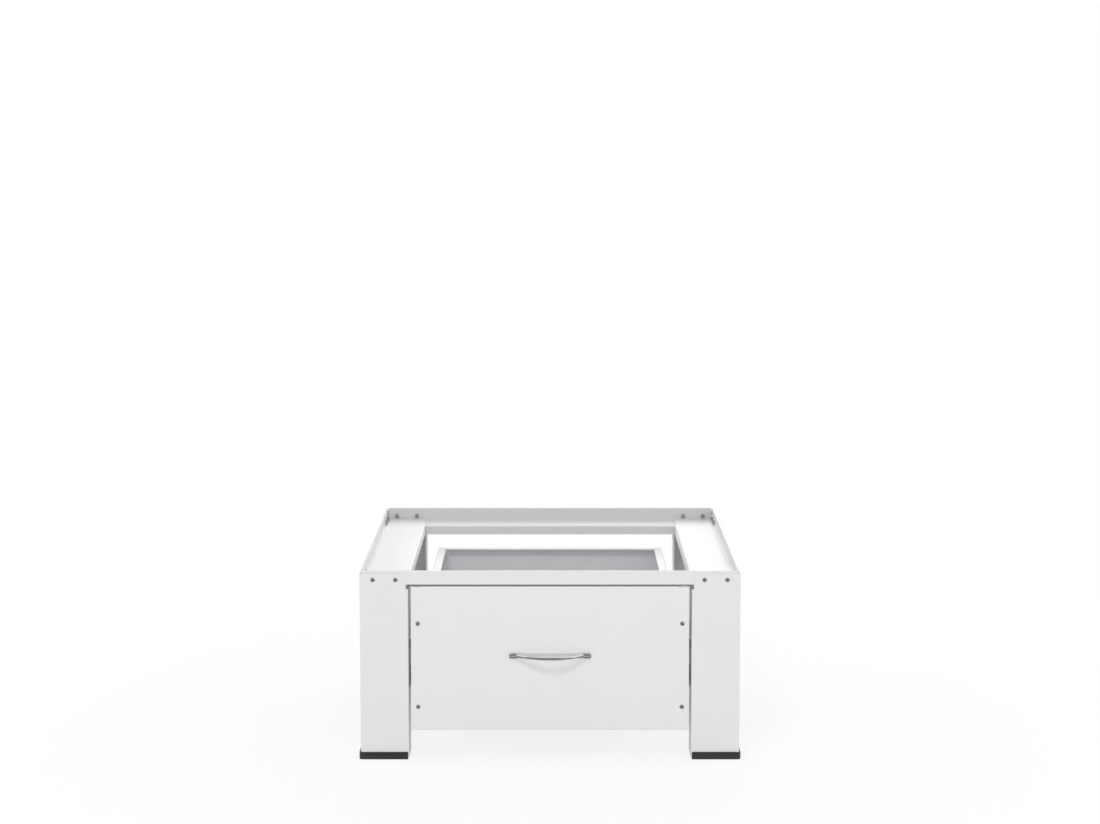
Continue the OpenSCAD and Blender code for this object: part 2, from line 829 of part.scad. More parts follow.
// A pad with round ends and a crowned face.
module pad() {
    crown = pad_h;
    half = (pad_len - pad_h) / 2;
    intersection() {
        rotate([90, 0, 0]) linear_extrude(height = pad_t) {
            square([2 * half, pad_h], center = true);
            for (side = [-1, 1]) translate([side * half, 0]) circle(d = pad_h);
        }
        translate([0, crown - pad_t, 0]) rotate([0, 90, 0])
            cylinder(r = crown, h = 2 * pad_len, center = true);
    }
}

module handle() {
    color(chrome) difference() {
        union() {
            bow();
            for (side = [-1, 1]) translate([side * handle_pitch / 2, front_y, handle_z]) pad();
        }
        for (side = [-1, 1])
            bore_y(side * handle_pitch / 2, handle_z, bolt_d / 2 + thread_fit,
                front_y - handle_screw_depth - 0.3, front_y + 1);
    }
}

module handle_screws() {
    color(zinc) for (side = [-1, 1])
        facing_back(side * handle_pitch / 2, box_y, handle_z)
            button_bolt(panel_t + handle_screw_depth);
}

// ---- Nodes -------------------------------------------------------------------------------------

at_corner(false, false) leg();  // leg_front_left
at_corner(true, false) leg();  // leg_front_right
at_corner(false, true) leg();  // leg_rear_left
at_corner(true, true) leg();  // leg_rear_right
at_corner(false, false) foot();  // foot_front_left
at_corner(true, false) foot();  // foot_front_right
at_corner(false, true) foot();  // foot_rear_left
at_corner(true, true) foot();  // foot_rear_right
at_corner(false, false) cross_beam();  // beam_front
at_corner(false, true) cross_beam();  // beam_rear
on_right(false) side_beam();  // beam_left
on_right(true) side_beam();  // beam_right
frame_bolts();
frame_nuts();
on_right(false) rail();  // rail_left
on_right(true) rail();  // rail_right
rail_bolts();
rail_nuts();
on_right(false) slide_outer();  // slide_outer_left
on_right(true) slide_outer();  // slide_outer_right
on_right(false) slide_middle();  // slide_middle_left
on_right(true) slide_middle();  // slide_middle_right
on_right(false) slide_inner();  // slide_inner_left
on_right(true) slide_inner();  // slide_inner_right
on_right(false) cage_outer();  // cage_outer_left
on_right(true) cage_outer();  // cage_outer_right
on_right(false) cage_inner();  // cage_inner_left
on_right(true) cage_inner();  // cage_inner_right
on_right(false) balls(outer_ball);  // balls_outer_left
on_right(true) balls(outer_ball);  // balls_outer_right
on_right(false) balls(inner_ball);  // balls_inner_left
on_right(true) balls(inner_ball);  // balls_inner_right
slide_screws();
slide_nuts();
drawer_front();
on_right(false) drawer_side();  // drawer_side_left
on_right(true) drawer_side();  // drawer_side_right
drawer_back();
drawer_bottom();
front_screws();
front_nuts();
runner_screws();
runner_nuts();
drawer_rivets();
handle();
handle_screws();
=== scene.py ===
import json
import math

import bmesh
import bpy
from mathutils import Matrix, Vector


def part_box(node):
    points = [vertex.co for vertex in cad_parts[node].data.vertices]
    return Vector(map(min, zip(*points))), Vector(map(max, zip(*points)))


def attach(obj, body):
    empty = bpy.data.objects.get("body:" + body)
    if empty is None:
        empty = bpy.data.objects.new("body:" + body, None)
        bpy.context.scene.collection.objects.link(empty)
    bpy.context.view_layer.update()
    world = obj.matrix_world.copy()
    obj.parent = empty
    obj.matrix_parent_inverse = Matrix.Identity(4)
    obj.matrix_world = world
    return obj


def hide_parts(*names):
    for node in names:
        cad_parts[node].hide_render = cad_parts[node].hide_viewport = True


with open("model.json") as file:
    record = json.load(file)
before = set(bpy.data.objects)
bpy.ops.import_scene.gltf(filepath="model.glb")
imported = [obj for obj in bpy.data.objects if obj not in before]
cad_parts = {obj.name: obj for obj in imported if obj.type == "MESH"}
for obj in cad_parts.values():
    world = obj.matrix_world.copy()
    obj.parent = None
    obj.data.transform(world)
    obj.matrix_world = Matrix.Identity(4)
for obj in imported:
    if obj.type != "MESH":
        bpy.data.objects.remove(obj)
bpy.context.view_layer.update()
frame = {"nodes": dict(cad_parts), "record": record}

bpy.context.scene.view_settings.view_transform = "Standard"

# ---- Camera --------------------------------------------------------------------------------------
# The photograph was taken from straight in front, at chest height, with a level camera whose frame
# was shifted far down, so all uprights stand parallel. This camera is shifted less, stands a little
# lower and looks down a little, which keeps them nearly so.

CAMERA_DISTANCE = 3.2
CAMERA_HEIGHT = 1.05
CAMERA_DOWN = math.radians(5.84)
CAMERA_LENS = 65.15
CAMERA_SENSOR = 36
CAMERA_SHIFT = -0.08


def new_object(name, data):
    """An object in the scene that shows this data."""
    made = bpy.data.objects.new(name, data)
    bpy.context.scene.collection.objects.link(made)
    return made


face_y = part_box("leg_front_left")[0].y
camera = new_object("camera", bpy.data.cameras.new("camera"))
camera.location = (0, face_y - CAMERA_DISTANCE, CAMERA_HEIGHT)
camera.rotation_euler = (math.pi / 2 - CAMERA_DOWN, 0, 0)
camera.data.sensor_width = CAMERA_SENSOR
camera.data.lens = CAMERA_LENS
camera.data.shift_y = CAMERA_SHIFT
bpy.context.scene.camera = camera

# ---- Studio --------------------------------------------------------------------------------------
# A white floor that runs into a white background, lit by a small lamp low in front and by wide soft
# ones all round. The floor stays white to the eye and keeps a pale shadow. A dark card in front,
# which only shows in gloss, gives polished metal something to reflect, and its slit a bright line.


def linear(hex_colour):
    """The linear colour of an sRGB hex value, with an alpha of 1."""
    parts = [int(hex_colour[i : i + 2], 16) / 255 for i in (0, 2, 4)]
    return [c / 12.92 if c <= 0.04045 else ((c + 0.055) / 1.055) ** 2.4 for c in parts] + [1]


def add(tree, kind, inputs=None, **settings):
    """A node with its settings. In inputs, a socket or the first output of a node is linked, and
    any other value is set."""
    node = tree.nodes.new(kind)
    for name, value in settings.items():
        setattr(node, name, value)
    for key, value in (inputs or {}).items():
        socket = node.inputs[key]
        if isinstance(value, bpy.types.Node):
            value = value.outputs[0]
        if isinstance(value, bpy.types.NodeSocket):
            tree.links.new(value, socket)
        else:
            socket.default_value = value
    return node


def blank_material(name):
    """A named material with an empty tree."""
    material = bpy.data.materials.new(name)
    material.use_nodes = True
    material.node_tree.nodes.clear()
    return material, material.node_tree


def seen_share(tree):
    """1 for rays that the eye follows, straight or by way of gloss or glass, and 0 for the others."""
    path = add(tree, "ShaderNodeLightPath").outputs
    share = path["Is Camera Ray"]
    for ray in ("Is Glossy Ray", "Is Transmission Ray"):
        share = add(tree, "ShaderNodeMath", {0: share, 1: path[ray]}, operation="MAXIMUM").outputs[0]
    return share


def sheet(name, corners, faces):
    """A surface of the studio, without thickness."""
    mesh = bpy.data.meshes.new(name)
    mesh.from_pydata(corners, [], faces)
    return new_object(name, mesh)


WHITE = linear("FFFFFF")
WORLD_LIGHT = 0.46
SEEN_WHITE = 1.0

world = bpy.data.worlds.new("studio")
bpy.context.scene.world = world
world.use_nodes = True
tree = world.node_tree
tree.nodes.clear()
strength = add(tree, "ShaderNodeMapRange",
               {"Value": seen_share(tree), "To Min": WORLD_LIGHT, "To Max": SEEN_WHITE})
background = add(tree, "ShaderNodeBackground", {"Color": WHITE, "Strength": strength})
add(tree, "ShaderNodeOutputWorld", {"Surface": background})

# The floor is plain pale paint to light. The eye sees it white, with a share of its real shadows
# that fades out around the object.
FLOOR_HALF = 30.0
FLOOR_COLOUR = "EDEDED"
FLOOR_SHADOW = 0.18
SHADOW_NEAR = 0.42
SHADOW_FAR = 1.1

floor_corners = [(x * FLOOR_HALF, y * FLOOR_HALF, 0) for x, y in ((-1, -1), (1, -1), (1, 1), (-1, 1))]
floor = sheet("floor", floor_corners, [(0, 1, 2, 3)])
floor_material, tree = blank_material("white_studio_floor")
seen = seen_share(tree)
paint = add(tree, "ShaderNodeBsdfDiffuse", {"Color": linear(FLOOR_COLOUR)})
seen_paint = add(tree, "ShaderNodeBsdfDiffuse", {"Color": WHITE})
white = add(tree, "ShaderNodeEmission", {"Color": WHITE, "Strength": SEEN_WHITE})
off = add(tree, "ShaderNodeVectorMath", {0: add(tree, "ShaderNodeTexCoord").outputs["Object"]},
          operation="LENGTH")
share = add(tree, "ShaderNodeMapRange", {
    "Value": off.outputs["Value"], "From Min": SHADOW_NEAR, "From Max": SHADOW_FAR,
    "To Min": FLOOR_SHADOW, "To Max": 0.0}, interpolation_type="SMOOTHSTEP")
pale = add(tree, "ShaderNodeMixShader", {0: share, 1: white, 2: seen_paint})
surface = add(tree, "ShaderNodeMixShader", {0: seen, 1: paint, 2: pale})
add(tree, "ShaderNodeOutputMaterial", {"Surface": surface})
floor.data.materials.append(floor_material)

# The card lies on the floor in front of the object and turns up far behind the camera.
CARD_GREY = 0.26
CARD_HALF = 7.0
CARD_NEAR = -0.285
SLIT_NEAR = -0.82
SLIT_FAR = -1.0
CARD_FAR = -5.6
CARD_TOP = 8.0
CARD_LIFT = 0.002

card_edges = [(y, CARD_LIFT) for y in (CARD_NEAR, SLIT_NEAR, SLIT_FAR, CARD_FAR)] + [(CARD_FAR, CARD_TOP)]
card = sheet("dark_card", [(side * CARD_HALF, y, z) for y, z in card_edges for side in (-1, 1)],
             [(0, 1, 3, 2), (4, 5, 7, 6), (6, 7, 9, 8)])
card_material, tree = blank_material("grey_card")
grey = add(tree, "ShaderNodeEmission", {"Color": WHITE, "Strength": CARD_GREY})
add(tree, "ShaderNodeOutputMaterial", {"Surface": grey})
card.data.materials.append(card_material)
for kind in ("camera", "diffuse", "transmission", "shadow", "volume_scatter"):
    setattr(card, f"visible_{kind}", False)

# Each lamp's name, place, width, watts, and whether gloss mirrors it. The two small ones in front
# would leave hard spots in the chrome.
LAMP_AIM = Vector((0, 0, 0.2))
for name, place, size, watts, mirrored in (
    ("front_lamp", (0.0, -2.6, 0.13), 0.34, 16.4, False),
    ("key_lamp", (-0.8, -2.6, 3.4), 0.6, 33, False),
    ("fill_lamp", (2.2, -2.6, 2.2), 2.0, 9.5, True),
    ("left_lamp", (-3.0, 0.6, 1.1), 1.6, 23, True),
    ("right_lamp", (3.0, 0.6, 1.1), 1.6, 23, True),
    ("rear_lamp", (0.4, 2.8, 1.9), 2.0, 35, True),
):
    lamp = new_object(name, bpy.data.lights.new(name, "AREA"))
    lamp.data.shape = "SQUARE"
    lamp.data.size = size
    lamp.data.energy = watts
    lamp.location = place
    lamp.rotation_euler = (LAMP_AIM - Vector(place)).to_track_quat("-Z", "Y").to_euler()
    lamp.visible_camera = False
    lamp.visible_glossy = mirrored

# ---- Powder-coated sheet -------------------------------------------------------------------------
# Legs, beams and the drawer are laser-cut and folded sheet steel, powder coated in satin white.
# The powder melts into a skin about 80 microns thick: it rounds the cut edges, and has a faint
# orange peel and the finest grain.

MM = 0.001
COAT_TONES = ("E8E8EA", "E5E5E7")
COAT_CLOUD = 90 * MM
COAT_CLOUD_LIMITS = (0.3, 0.7)
COAT_ROUGHNESS = (0.39, 0.45)
COAT_EDGE = 0.35 * MM
EDGE_SAMPLES = 4
PEEL_SIZE = 2.2 * MM
PEEL_HEIGHT = 0.008 * MM
# The real grain is finer. It is drawn as coarse as it needs to show.
GRAIN_SIZE = 0.35 * MM
GRAIN_HEIGHT = 0.002 * MM


def new_material(name, metallic, roughness):
    """A named material with a principled surface, and the object coordinates its patterns read. The
    surface keeps its default refractive index of 1.5, which suits the powder and the plastic too."""
    material, tree = blank_material(name)
    shader = add(tree, "ShaderNodeBsdfPrincipled", {"Metallic": metallic, "Roughness": roughness})
    add(tree, "ShaderNodeOutputMaterial", {"Surface": shader})
    place = add(tree, "ShaderNodeTexCoord").outputs["Object"]
    return material, tree, shader, place


def vary(tree, shader, pattern, tones, roughness=None, gloss_pattern=None, limits=(0.0, 1.0)):
    """A pattern carries the colour from one sRGB tone to the other, and the roughness along with it."""
    tint = add(tree, "ShaderNodeMix", {0: pattern, 6: linear(tones[0]), 7: linear(tones[1])},
               data_type="RGBA")
    tree.links.new(tint.outputs[2], shader.inputs["Base Color"])
    if roughness:
        gloss = add(tree, "ShaderNodeMapRange", {
            "Value": gloss_pattern or pattern, "From Min": limits[0], "From Max": limits[1],
            "To Min": roughness[0], "To Max": roughness[1]})
        tree.links.new(gloss.outputs[0], shader.inputs["Roughness"])


def powder_coat(name, tones):
    """Satin polyester powder: two near whites in broad clouds, orange peel and fine grain."""
    material, tree, shader, place = new_material(name, 0.0, COAT_ROUGHNESS[0])
    clouds = add(tree, "ShaderNodeTexNoise", {"Vector": place, "Scale": 1 / COAT_CLOUD, "Detail": 3})
    vary(tree, shader, clouds, tones, COAT_ROUGHNESS, limits=COAT_CLOUD_LIMITS)
    edge = add(tree, "ShaderNodeBevel", {"Radius": COAT_EDGE}, samples=EDGE_SAMPLES)
    peel = add(tree, "ShaderNodeTexNoise", {"Vector": place, "Scale": 1 / PEEL_SIZE, "Detail": 1})
    peel_bump = add(tree, "ShaderNodeBump", {"Height": peel, "Distance": PEEL_HEIGHT, "Normal": edge})
    grain = add(tree, "ShaderNodeTexNoise", {"Vector": place, "Scale": 1 / GRAIN_SIZE, "Detail": 0})
    grain_bump = add(tree, "ShaderNodeBump", {
        "Height": grain, "Distance": GRAIN_HEIGHT, "Normal": peel_bump})
    tree.links.new(grain_bump.outputs[0], shader.inputs["Normal"])
    return material


def dress(material, *nodes):
    """Gives CAD nodes their finish."""
    for name in nodes:
        mesh = frame["nodes"][name].data
        mesh.materials.clear()
        mesh.materials.append(material)


CORNERS = [f"{end}_{side}" for end in ("front", "rear") for side in ("left", "right")]
frame_coat = powder_coat("powder_coated_steel_frame", COAT_TONES)
dress(frame_coat, *[f"leg_{corner}" for corner in CORNERS],
      "beam_front", "beam_rear", "beam_left", "beam_right")

# ---- Foot caps -----------------------------------------------------------------------------------
# Each leg stands in an angled cap of black polyethylene, injection moulded with a fine matt
# texture, and pushed on so that its groove grips the sheet.

CAP_TONES = ("2B2B2C", "242425")
CAP_ROUGHNESS = 0.55
CAP_CLOUD = 25 * MM
# The real texture is finer. It is drawn as coarse as it needs to show.
CAP_TEXTURE = 0.6 * MM
CAP_TEXTURE_HEIGHT = 0.03 * MM
CAP_EDGE = 0.7 * MM
CAP_EDGE_STEPS = 2
FLAT_ANGLE = math.radians(0.5)
SHARP_ANGLE = math.radians(35)
MERGE = 0.001 * MM


def softened(node, name, edge_radius, edge_steps):
    """A copy of a CAD node whose sharp edges are rounded, as moulding leaves them."""
    copy = bmesh.new()
    copy.from_mesh(frame["nodes"][node].data)
    bmesh.ops.remove_doubles(copy, verts=copy.verts, dist=MERGE)
    bmesh.ops.dissolve_limit(copy, angle_limit=FLAT_ANGLE, verts=copy.verts, edges=copy.edges)
    mesh = bpy.data.meshes.new(name)
    copy.to_mesh(mesh)
    copy.free()
    piece = new_object(name, mesh)
    bevel = piece.modifiers.new("edges", "BEVEL")
    bevel.width = edge_radius
    bevel.segments = edge_steps
    bevel.limit_method = "ANGLE"
    bevel.angle_limit = SHARP_ANGLE
    bevel.harden_normals = True
    mesh.shade_smooth()
    return piece


cap_plastic, tree, shader, place = new_material("moulded_black_polyethylene", 0.0, CAP_ROUGHNESS)
clouds = add(tree, "ShaderNodeTexNoise", {"Vector": place, "Scale": 1 / CAP_CLOUD, "Detail": 4})
vary(tree, shader, clouds, CAP_TONES)
texture = add(tree, "ShaderNodeTexVoronoi", {"Vector": place, "Scale": 1 / CAP_TEXTURE})
bump = add(tree, "ShaderNodeBump", {"Height": texture, "Distance": CAP_TEXTURE_HEIGHT})
tree.links.new(bump.outputs[0], shader.inputs["Normal"])

for corner in CORNERS:
    cap = softened(f"foot_{corner}", f"foot_cap_{corner}", CAP_EDGE, CAP_EDGE_STEPS)
    cap.data.materials.append(cap_plastic)
    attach(cap, "frame")
    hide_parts(f"foot_{corner}")

# ---- Screws, nuts and rivets ---------------------------------------------------------------------
# M4 button-head screws with hexagon sockets, plain hexagon nuts and, under the slides, countersunk
# screws: cold-headed steel with rolled threads, zinc plated and passivated to a cool, soft gleam.
# Each was turned until it came tight, so each stands at its own angle. Rivets hold the drawer.

ZINC_TONES = ("A9AAAC", "B9BABB")
ZINC_ROUGHNESS = (0.28, 0.44)
ZINC_PATCH = 2.5 * MM
# The plating's own grain is finer. It is drawn as coarse as it needs to show.
ZINC_GRAIN = 0.25 * MM
ZINC_GRAIN_HEIGHT = 0.004 * MM
ZINC_EDGE = 0.12 * MM

zinc_plate, tree, shader, place = new_material("zinc_plated_steel", 1.0, ZINC_ROUGHNESS[0])
patches = add(tree, "ShaderNodeTexNoise", {"Vector": place, "Scale": 1 / ZINC_PATCH, "Detail": 3})
vary(tree, shader, patches, ZINC_TONES, ZINC_ROUGHNESS)
grain = add(tree, "ShaderNodeTexNoise", {"Vector": place, "Scale": 1 / ZINC_GRAIN, "Detail": 1})
edge = add(tree, "ShaderNodeBevel", {"Radius": ZINC_EDGE}, samples=EDGE_SAMPLES)
bump = add(tree, "ShaderNodeBump", {"Height": grain, "Distance": ZINC_GRAIN_HEIGHT, "Normal": edge})
tree.links.new(bump.outputs[0], shader.inputs["Normal"])

# Places count as the same to 0.01 mm. A part's rim is where it has nearly its full width, and it
# faces the way that its rim lies.
PLACE_DIGITS = 5
RIM_SHARE = 0.95
LEVEL = 0.01 * MM


def solids_of(node):
    """The corners of each separate solid of a CAD node, in the order of their places."""
    mesh = bmesh.new()
    mesh.from_mesh(frame["nodes"][node].data)
    bmesh.ops.remove_doubles(mesh, verts=mesh.verts, dist=MERGE)
    left = set(mesh.verts)
    solids = []
    while left:
        waiting = [left.pop()]
        solid = []
        while waiting:
            corner = waiting.pop()
            solid.append(corner.co.copy())
            for line in corner.link_edges:
                other = line.other_vert(corner)
                if other in left:
                    left.remove(other)
                    waiting.append(other)
        solids.append(solid)
    mesh.free()
    return sorted(solids, key=lambda solid: [round(x, PLACE_DIGITS) for x in span(solid)[0]])


def span(solid):
    """Lowest and highest corner of a solid."""
    return (Vector([min(point[i] for point in solid) for i in range(3)]),
            Vector([max(point[i] for point in solid) for i in range(3)]))


def head_places(node):
    """The top of each screw, nut or rivet of a CAD node, and the way that it faces."""
    places = []
    for solid in solids_of(node):
        low, high = span(solid)
        size, middle = high - low, (low + high) / 2
        axis = max(range(3), key=lambda i: min(abs(size[i] - size[j]) for j in range(3) if j != i))
        across = [i for i in range(3) if i != axis]
        width = [math.hypot(*(point[i] - middle[i] for i in across)) for point in solid]
        rim = [point[axis] - middle[axis] for point, w in zip(solid, width) if w > RIM_SHARE * max(width)]
        facing = Vector((0, 0, 0))
        facing[axis] = 1 if sum(rim) / len(rim) > -LEVEL else -1
        places.append((middle + facing * size[axis] / 2, facing))
    return places


def places_mesh(name, places):
    """A mesh of loose points, each with the way that its part faces."""
    mesh = bpy.data.meshes.new(name)
    mesh.from_pydata([point for point, facing in places], [], [])
    ways = mesh.attributes.new("facing", "FLOAT_VECTOR", "POINT")
    for i, (point, facing) in enumerate(places):
        ways.data[i].vector = facing
    return mesh


def outline(name, rows):
    """A profile of (radius, height, is on the hexagon, is threaded), as loose points in order."""
    mesh = bpy.data.meshes.new(name)
    mesh.from_pydata([(radius, 0, height) for radius, height, *flags in rows], [], [])
    for i, flag in enumerate(("hexagon", "thread")):
        values = mesh.attributes.new(flag, "FLOAT", "POINT")
        for j, row in enumerate(rows):
            values.data[j].value = row[2 + i]
    return new_object(name, mesh)


def new_tree(name, sizes):
    """A geometry tree with named inputs for the places, the sizes and the material, and its inputs."""
    tree = bpy.data.node_groups.new(name, "GeometryNodeTree")
    tree.interface.new_socket("Geometry", in_out="OUTPUT", socket_type="NodeSocketGeometry")
    for label, kind in {"Geometry": "Geometry", **sizes, "Material": "Material"}.items():
        tree.interface.new_socket(label, in_out="INPUT", socket_type=f"NodeSocket{kind}")
    return tree, add(tree, "NodeGroupInput").outputs


def close_tree(tree, shape, material):
    """Ends a tree in real geometry that carries its material."""
    real = add(tree, "GeometryNodeRealizeInstances", {"Geometry": shape})
    dressed = add(tree, "GeometryNodeSetMaterial", {"Geometry": real, "Material": material})
    add(tree, "NodeGroupOutput", {"Geometry": dressed})


def grow(name, mesh, tree, values):
    """Runs a tree on a mesh, and gives the result as a plain piece."""
    seedling = new_object(name, mesh)
    modifier = seedling.modifiers.new("tree", "NODES")
    modifier.node_group = tree
    for socket in tree.interface.items_tree:
        if socket.in_out == "INPUT" and socket.name in values:
            modifier[socket.identifier] = values[socket.name]
    bpy.context.view_layer.update()
    depsgraph = bpy.context.evaluated_depsgraph_get()
    grown = bpy.data.meshes.new_from_object(seedling.evaluated_get(depsgraph), depsgraph=depsgraph)
    seedling.modifiers.clear()
    seedling.data = grown
    return seedling


# A turned part is a grid whose columns go round the axis and whose rows follow the outline. Rows
# on the hexagon stop at its flats, and threaded rows are cut by a helix.
CREASE = math.radians(40)

turned_part, given = new_tree("turned_part", {
    "Outline": "Object", "Columns": "Int", "Hexagon Flats": "Float", "Thread Pitch": "Float",
    "Thread Depth": "Float", "Seed": "Int"})
tree = turned_part
profile = add(tree, "GeometryNodeObjectInfo", {"Object": given["Outline"]}).outputs["Geometry"]
rows = add(tree, "GeometryNodeAttributeDomainSize", {"Geometry": profile})
across = add(tree, "ShaderNodeMath", {0: given["Columns"], 1: 1.0}, operation="ADD")
grid = add(tree, "GeometryNodeMeshGrid", {
    "Size X": 1.0, "Size Y": 1.0, "Vertices X": across, "Vertices Y": rows})
at = add(tree, "ShaderNodeSeparateXYZ", {0: add(tree, "GeometryNodeInputPosition")}).outputs
share = add(tree, "ShaderNodeMath", {0: at["X"], 1: 0.5}, operation="ADD")
turn = add(tree, "ShaderNodeMath", {0: share, 1: math.tau}, operation="MULTIPLY")
last = add(tree, "ShaderNodeMath", {0: rows, 1: 1.0}, operation="SUBTRACT")
up = add(tree, "ShaderNodeMath", {0: at["Y"], 1: 0.5}, operation="ADD")
row = add(tree, "ShaderNodeMath", {0: up, 1: last}, operation="MULTIPLY")
row = add(tree, "ShaderNodeMath", {0: row}, operation="ROUND")
point = add(tree, "GeometryNodeSampleIndex", {
    "Geometry": profile, "Value": add(tree, "GeometryNodeInputPosition"), "Index": row},
    data_type="FLOAT_VECTOR")
point = add(tree, "ShaderNodeSeparateXYZ", {0: point}).outputs
flags = [add(tree, "GeometryNodeSampleIndex", {
    "Geometry": profile, "Value": add(tree, "GeometryNodeInputNamedAttribute", {"Name": flag}), "Index": row})
    for flag in ("hexagon", "thread")]
sixth = add(tree, "ShaderNodeMath", {0: turn, 1: math.pi / 6, 2: -math.pi / 6}, operation="WRAP")
sixth = add(tree, "ShaderNodeMath", {0: sixth}, operation="COSINE")
flat = add(tree, "ShaderNodeMath", {0: given["Hexagon Flats"], 1: 0.5}, operation="MULTIPLY")
flat = add(tree, "ShaderNodeMath", {0: flat, 1: sixth}, operation="DIVIDE")
flat = add(tree, "ShaderNodeMath", {0: flat, 1: point["X"]}, operation="MINIMUM")
radius = add(tree, "ShaderNodeMix", {0: flags[0], 2: point["X"], 3: flat})
climb = add(tree, "ShaderNodeMath", {0: point["Z"], 1: given["Thread Pitch"]}, operation="DIVIDE")
climb = add(tree, "ShaderNodeMath", {0: climb, 1: share}, operation="SUBTRACT")
wave = add(tree, "ShaderNodeMath", {0: climb, 1: 0.5}, operation="PINGPONG")
cut = add(tree, "ShaderNodeMath", {0: wave, 1: given["Thread Depth"]}, operation="MULTIPLY")
cut = add(tree, "ShaderNodeMath", {0: cut, 1: 2.0}, operation="MULTIPLY")
cut = add(tree, "ShaderNodeMath", {0: cut, 1: flags[1]}, operation="MULTIPLY")
radius = add(tree, "ShaderNodeMath", {0: radius, 1: cut}, operation="SUBTRACT")
cosine = add(tree, "ShaderNodeMath", {0: turn}, operation="COSINE")
sine = add(tree, "ShaderNodeMath", {0: turn}, operation="SINE")
x = add(tree, "ShaderNodeMath", {0: radius, 1: cosine}, operation="MULTIPLY")
y = add(tree, "ShaderNodeMath", {0: radius, 1: sine}, operation="MULTIPLY")
bent = add(tree, "ShaderNodeCombineXYZ", {"X": x, "Y": y, "Z": point["Z"]})
part = add(tree, "GeometryNodeSetPosition", {"Geometry": grid, "Position": bent})
part = add(tree, "GeometryNodeMergeByDistance", {"Geometry": part, "Distance": MERGE})
steep = add(tree, "FunctionNodeCompare", {
    0: add(tree, "GeometryNodeInputMeshEdgeAngle"), 1: CREASE}, operation="GREATER_THAN")
part = add(tree, "GeometryNodeSetShadeSmooth", {"Geometry": part, "Selection": steep, "Shade Smooth": False},
           domain="EDGE")
facing = add(tree, "GeometryNodeInputNamedAttribute", {"Name": "facing"}, data_type="FLOAT_VECTOR")
facing = add(tree, "FunctionNodeAlignRotationToVector", {"Vector": facing}, axis="Z")
came_tight = add(tree, "FunctionNodeRandomValue", {3: math.tau, "Seed": given["Seed"]})
came_tight = add(tree, "FunctionNodeAxisAngleToRotation", {"Angle": came_tight.outputs[1]})
turned = add(tree, "FunctionNodeRotateRotation", {"Rotation": facing, "Rotate By": came_tight},
             rotation_space="LOCAL")
parts = add(tree, "GeometryNodeInstanceOnPoints", {
    "Points": given["Geometry"], "Instance": part, "Rotation": turned})
close_tree(tree, parts, given["Material"])


HEAD_R = 3.8 * MM
HEAD_H = 2.2 * MM
HEAD_RIM = 0.4 * MM
HEAD_STEPS = 7
EDGE_BREAK = 0.1 * MM
SHANK_R = 2.0 * MM
THREAD_PITCH = 0.7 * MM
THREAD_DEPTH = 0.36 * MM
THREAD_LENGTH = 4.2 * MM
THREAD_STEPS = 6
THREAD_END = 0.2 * MM
TIP_CHAMFER = 0.35 * MM
TIP_INSET = 0.45 * MM
SOCKET_R = 1.444 * MM
SOCKET_MOUTH_R = SOCKET_R + 0.14 * MM
SOCKET_DEPTH = 1.1 * MM
SINK_R = 3.75 * MM
SINK_RIM = 0.08 * MM
SINK_RIM_INSET = 0.06 * MM
COS_30 = math.cos(math.radians(30))
TAN_30 = math.tan(math.radians(30))


def dome(radius, height, rim, inner, count):
    """Rows of a domed head, from its rim in to a radius; its top is at height 0."""
    rise = height - rim
    curve = (radius ** 2 + rise ** 2) / (2 * rise)
    steps = [radius + (inner - radius) * i / count for i in range(count + 1)]
    return [(r, math.sqrt(curve ** 2 - r ** 2) - curve, 0, 0) for r in steps]


def shank(length, top):
    """Rows of a screw from its chamfered tip up to the underside of its head, threaded near the tip."""
    tip, start = -length, -length + TIP_CHAMFER
    count = round(THREAD_LENGTH / THREAD_PITCH * THREAD_STEPS)
    thread = [(SHANK_R, start + THREAD_LENGTH * i / count, 0, 1) for i in range(count + 1)]
    if start + THREAD_LENGTH > top - THREAD_END:
        thread = [row for row in thread if row[1] < top - THREAD_END]
    return [(0, tip, 0, 0), (SHANK_R - TIP_INSET, tip, 0, 0), *thread,
            (SHANK_R, thread[-1][1] + EDGE_BREAK, 0, 0), (SHANK_R, top, 0, 0)]


def socket(mouth, bottom):
    """Rows of a hexagon socket with a chamfered mouth and a slightly dished bottom."""
    return [(SOCKET_MOUTH_R, mouth, 0, 0), (SOCKET_R, mouth - EDGE_BREAK, 1, 0), (SOCKET_R, bottom, 1, 0),
            (0, bottom - EDGE_BREAK, 0, 0)]


def button_screw(grip):
    """Rows of a button-head screw that reaches this far below its head."""
    head = dome(HEAD_R, HEAD_H, HEAD_RIM, SOCKET_MOUTH_R, HEAD_STEPS)
    return [*shank(HEAD_H + grip, -HEAD_H), (HEAD_R - EDGE_BREAK, -HEAD_H, 0, 0),
            (HEAD_R, EDGE_BREAK - HEAD_H, 0, 0), *head, *socket(head[-1][1], -SOCKET_DEPTH)[1:]]


def sunk_screw(length):
    """Rows of a countersunk screw of this length over all."""
    under = SHANK_R - SINK_R
    return [*shank(length, under), (SINK_R - SINK_RIM_INSET, -SINK_RIM, 0, 0),
            (SINK_R - EDGE_BREAK, 0, 0, 0), *socket(0, under / 2)]


NUT_FLATS = 7.0 * MM
NUT_H = 3.2 * MM
NUT_BORE_R = 2.05 * MM
NUT_BORE_CHAMFER = 0.3 * MM
NUT_FACE_R = 0.475 * NUT_FLATS
NUT_STEPS = 5


